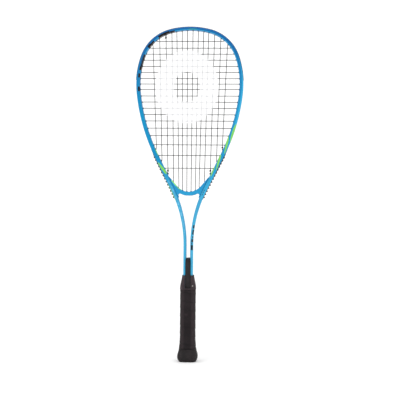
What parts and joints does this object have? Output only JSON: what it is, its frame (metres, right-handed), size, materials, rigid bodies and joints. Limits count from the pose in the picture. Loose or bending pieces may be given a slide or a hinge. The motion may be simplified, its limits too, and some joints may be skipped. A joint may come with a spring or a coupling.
{
  "type": "squash racket",
  "caption": "Strung squash racket: hairpin tube frame with open throat, moulded yoke, woven strings, head bumper and taped handle with flared butt.",
  "frame": {"origin": "centre of the flat butt end of the handle", "axes": "+Z from the butt end up the shafts to the head, string bed in the XZ plane, front face towards -Y"},
  "size_m": [0.2206, 0.0386, 0.685],
  "materials": {
    "frame_paint": "gloss lacquer over carbon laminate",
    "yoke_plastic": "satin moulded",
    "bumper_plastic": "fine moulded grain",
    "grommet_plastic": "fine moulded grain",
    "string": "satin multifilament with clear coat",
    "wedge_rubber": "matte",
    "core_foam": "dark closed-cell foam",
    "pallet_foam": "moulded hard foam",
    "collar_rubber": "matte",
    "grip_tape": "tacky embossed tape",
    "cap_plastic": "matte",
    "badge_plastic": "satin",
    "tack_metal": "satin"
  },
  "bodies": {
    "root": {"frame_tube": "frame_paint", "throat_yoke": "yoke_plastic", "head_bumper": "bumper_plastic", "left_side_grommets": "grommet_plastic", "right_side_grommets": "grommet_plastic", "left_shoulder_grommets": "grommet_plastic", "right_shoulder_grommets": "grommet_plastic", "yoke_grommets": "grommet_plastic", "main_string": "string", "cross_string": "string", "main_string_knots": "string", "cross_string_knots": "string", "throat_wedge": "wedge_rubber", "shaft_core": "core_foam", "handle_shell_front": "pallet_foam", "handle_shell_back": "pallet_foam", "grip_collar": "collar_rubber", "collar_tack": "tack_metal", "grip_wrap": "grip_tape", "butt_cap": "cap_plastic", "butt_badge": "badge_plastic"}
  },
  "joints": []
}
